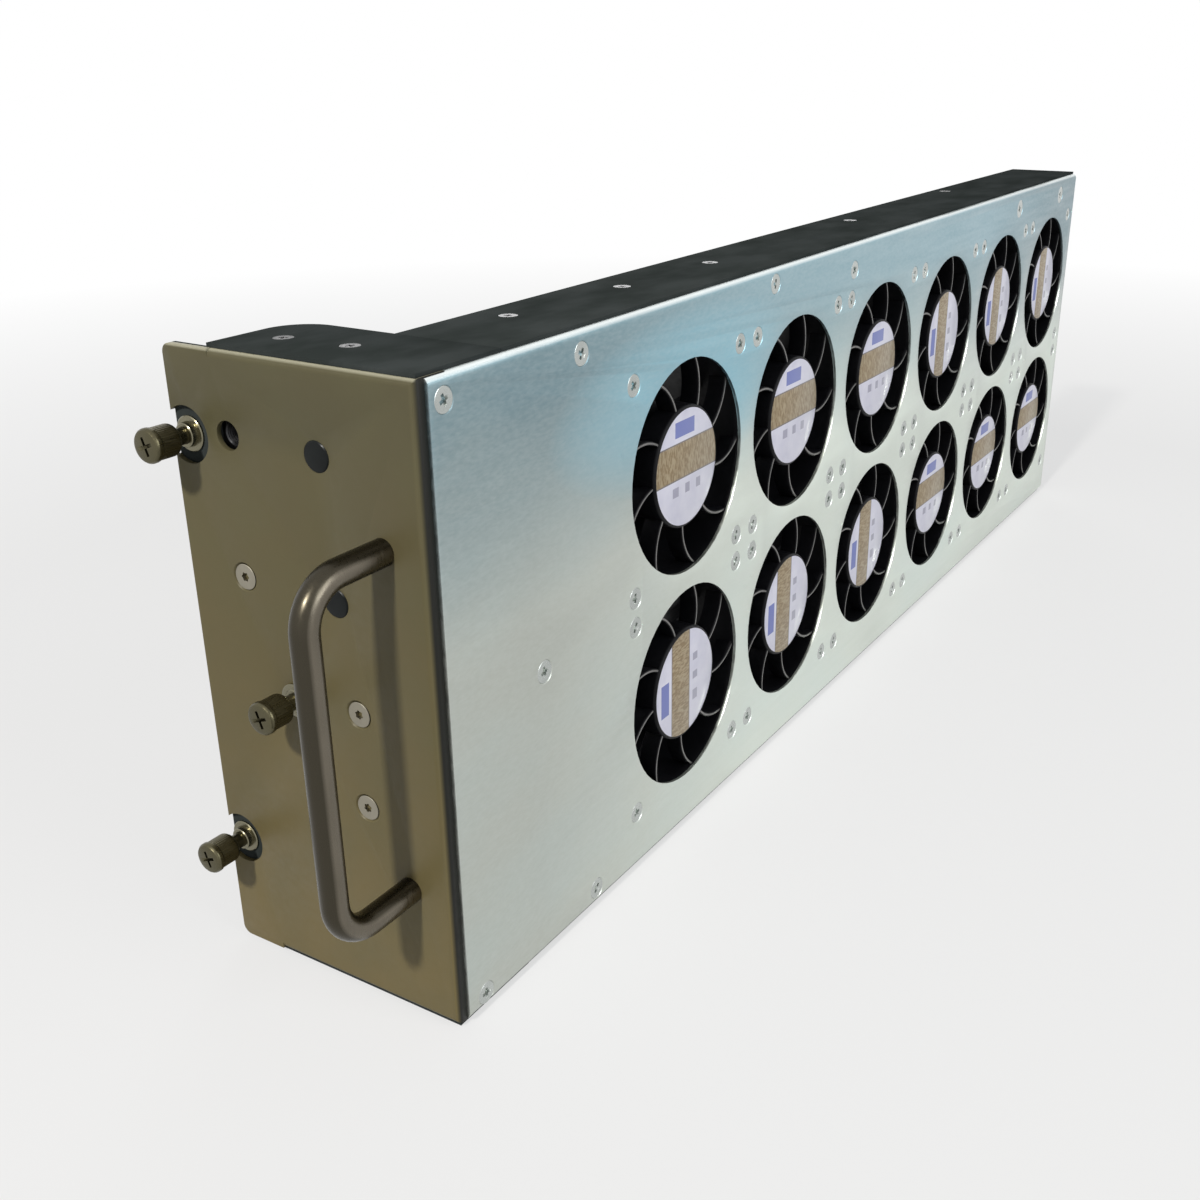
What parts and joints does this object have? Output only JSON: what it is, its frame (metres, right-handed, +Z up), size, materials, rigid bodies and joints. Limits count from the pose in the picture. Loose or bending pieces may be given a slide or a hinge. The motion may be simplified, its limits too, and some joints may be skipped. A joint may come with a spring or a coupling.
{
  "type": "switch fan tray",
  "caption": "Slide-in fan tray for a network chassis: tall flat sheet-metal duct with two rows of axial fans, a wider front panel with bow handle and captive thumbscrews.",
  "frame": {"origin": "middle plane of the duct on its flat underside, half-way along the folded tray between panel front and rear end", "axes": "+X out of the fan plate (air leaves this way), +Y from the front panel to the rear, +Z up"},
  "size_m": [0.092, 0.6454, 0.2],
  "materials": {
    "bright_sheet": "zinc plated, satin",
    "dark_sheet": "dark satin coat",
    "panel_paint": "warm grey satin paint",
    "connector_plastic": "matte",
    "circuit_board": "coated laminate",
    "post_metal": "nickel-plated brass",
    "lens": "gloss, smoked",
    "handle_metal": "satin nickel",
    "screw_metal": "nickel plated",
    "ring_metal": "oiled spring steel",
    "fan_frame_plastic": "matte",
    "fan_rotor_plastic": "matte"
  },
  "bodies": {
    "tray": {"fan_plate": "bright_sheet", "duct_channel": "dark_sheet", "front_panel": "panel_paint", "head_cover": "dark_sheet", "rear_cap": "dark_sheet", "docking_connector": "connector_plastic", "docking_board": "circuit_board", "docking_board_posts": "post_metal", "controller_board": "circuit_board", "controller_board_posts": "post_metal", "status_lens_upper": "lens", "status_lens_lower": "lens", "handle": "handle_metal", "captive_ferrules": "screw_metal", "fan_frame_lower_1": "fan_frame_plastic", "fan_frame_lower_2": "fan_frame_plastic", "fan_frame_lower_3": "fan_frame_plastic", "fan_frame_lower_4": "fan_frame_plastic", "fan_frame_lower_5": "fan_frame_plastic", "fan_frame_lower_6": "fan_frame_plastic", "fan_frame_upper_1": "fan_frame_plastic", "fan_frame_upper_2": "fan_frame_plastic", "fan_frame_upper_3": "fan_frame_plastic", "fan_frame_upper_4": "fan_frame_plastic", "fan_frame_upper_5": "fan_frame_plastic", "fan_frame_upper_6": "fan_frame_plastic"},
    "slider_upper": {"retaining_ring_upper": "ring_metal"},
    "screw_upper": {"captive_screw_upper": "screw_metal"},
    "slider_middle": {"retaining_ring_middle": "ring_metal"},
    "screw_middle": {"captive_screw_middle": "screw_metal"},
    "slider_lower": {"retaining_ring_lower": "ring_metal"},
    "screw_lower": {"captive_screw_lower": "screw_metal"},
    "impeller_lower_1": {"fan_rotor_lower_1": "fan_rotor_plastic"},
    "impeller_lower_2": {"fan_rotor_lower_2": "fan_rotor_plastic"},
    "impeller_lower_3": {"fan_rotor_lower_3": "fan_rotor_plastic"},
    "impeller_lower_4": {"fan_rotor_lower_4": "fan_rotor_plastic"},
    "impeller_lower_5": {"fan_rotor_lower_5": "fan_rotor_plastic"},
    "impeller_lower_6": {"fan_rotor_lower_6": "fan_rotor_plastic"},
    "impeller_upper_1": {"fan_rotor_upper_1": "fan_rotor_plastic"},
    "impeller_upper_2": {"fan_rotor_upper_2": "fan_rotor_plastic"},
    "impeller_upper_3": {"fan_rotor_upper_3": "fan_rotor_plastic"},
    "impeller_upper_4": {"fan_rotor_upper_4": "fan_rotor_plastic"},
    "impeller_upper_5": {"fan_rotor_upper_5": "fan_rotor_plastic"},
    "impeller_upper_6": {"fan_rotor_upper_6": "fan_rotor_plastic"}
  },
  "joints": [
    {"name": "screw_upper_press", "type": "slide", "parent": "tray", "child": "slider_upper", "axis": [0, 1, 0], "range_m": [0, 0.0035], "stiffness_N_per_m": 500, "springref_m": -0.002},
    {"name": "screw_upper_turn", "type": "hinge", "parent": "slider_upper", "child": "screw_upper", "pos_m": [-0.0661, -0.3007, 0.173], "axis": [0, 1, 0], "continuous": true},
    {"name": "screw_middle_press", "type": "slide", "parent": "tray", "child": "slider_middle", "axis": [0, 1, 0], "range_m": [0, 0.0035], "stiffness_N_per_m": 500, "springref_m": -0.002},
    {"name": "screw_middle_turn", "type": "hinge", "parent": "slider_middle", "child": "screw_middle", "pos_m": [-0.0344, -0.3019, 0.0972], "axis": [0, 1, 0], "continuous": true},
    {"name": "screw_lower_press", "type": "slide", "parent": "tray", "child": "slider_lower", "axis": [0, 1, 0], "range_m": [0, 0.0035], "stiffness_N_per_m": 500, "springref_m": -0.002},
    {"name": "screw_lower_turn", "type": "hinge", "parent": "slider_lower", "child": "screw_lower", "pos_m": [-0.0661, -0.3007, 0.0395], "axis": [0, 1, 0], "continuous": true},
    {"name": "fan_lower_1_spin", "type": "hinge", "parent": "tray", "child": "impeller_lower_1", "pos_m": [0, -0.167, 0.0585], "axis": [1, 0, 0], "continuous": true},
    {"name": "fan_lower_2_spin", "type": "hinge", "parent": "tray", "child": "impeller_lower_2", "pos_m": [0, -0.082, 0.0585], "axis": [1, 0, 0], "continuous": true},
    {"name": "fan_lower_3_spin", "type": "hinge", "parent": "tray", "child": "impeller_lower_3", "pos_m": [0, 0.003, 0.0585], "axis": [1, 0, 0], "continuous": true},
    {"name": "fan_lower_4_spin", "type": "hinge", "parent": "tray", "child": "impeller_lower_4", "pos_m": [0, 0.088, 0.0585], "axis": [1, 0, 0], "continuous": true},
    {"name": "fan_lower_5_spin", "type": "hinge", "parent": "tray", "child": "impeller_lower_5", "pos_m": [0, 0.173, 0.0585], "axis": [1, 0, 0], "continuous": true},
    {"name": "fan_lower_6_spin", "type": "hinge", "parent": "tray", "child": "impeller_lower_6", "pos_m": [0, 0.258, 0.0585], "axis": [1, 0, 0], "continuous": true},
    {"name": "fan_upper_1_spin", "type": "hinge", "parent": "tray", "child": "impeller_upper_1", "pos_m": [0, -0.167, 0.1405], "axis": [1, 0, 0], "continuous": true},
    {"name": "fan_upper_2_spin", "type": "hinge", "parent": "tray", "child": "impeller_upper_2", "pos_m": [0, -0.082, 0.1405], "axis": [1, 0, 0], "continuous": true},
    {"name": "fan_upper_3_spin", "type": "hinge", "parent": "tray", "child": "impeller_upper_3", "pos_m": [0, 0.003, 0.1405], "axis": [1, 0, 0], "continuous": true},
    {"name": "fan_upper_4_spin", "type": "hinge", "parent": "tray", "child": "impeller_upper_4", "pos_m": [0, 0.088, 0.1405], "axis": [1, 0, 0], "continuous": true},
    {"name": "fan_upper_5_spin", "type": "hinge", "parent": "tray", "child": "impeller_upper_5", "pos_m": [0, 0.173, 0.1405], "axis": [1, 0, 0], "continuous": true},
    {"name": "fan_upper_6_spin", "type": "hinge", "parent": "tray", "child": "impeller_upper_6", "pos_m": [0, 0.258, 0.1405], "axis": [1, 0, 0], "continuous": true}
  ]
}
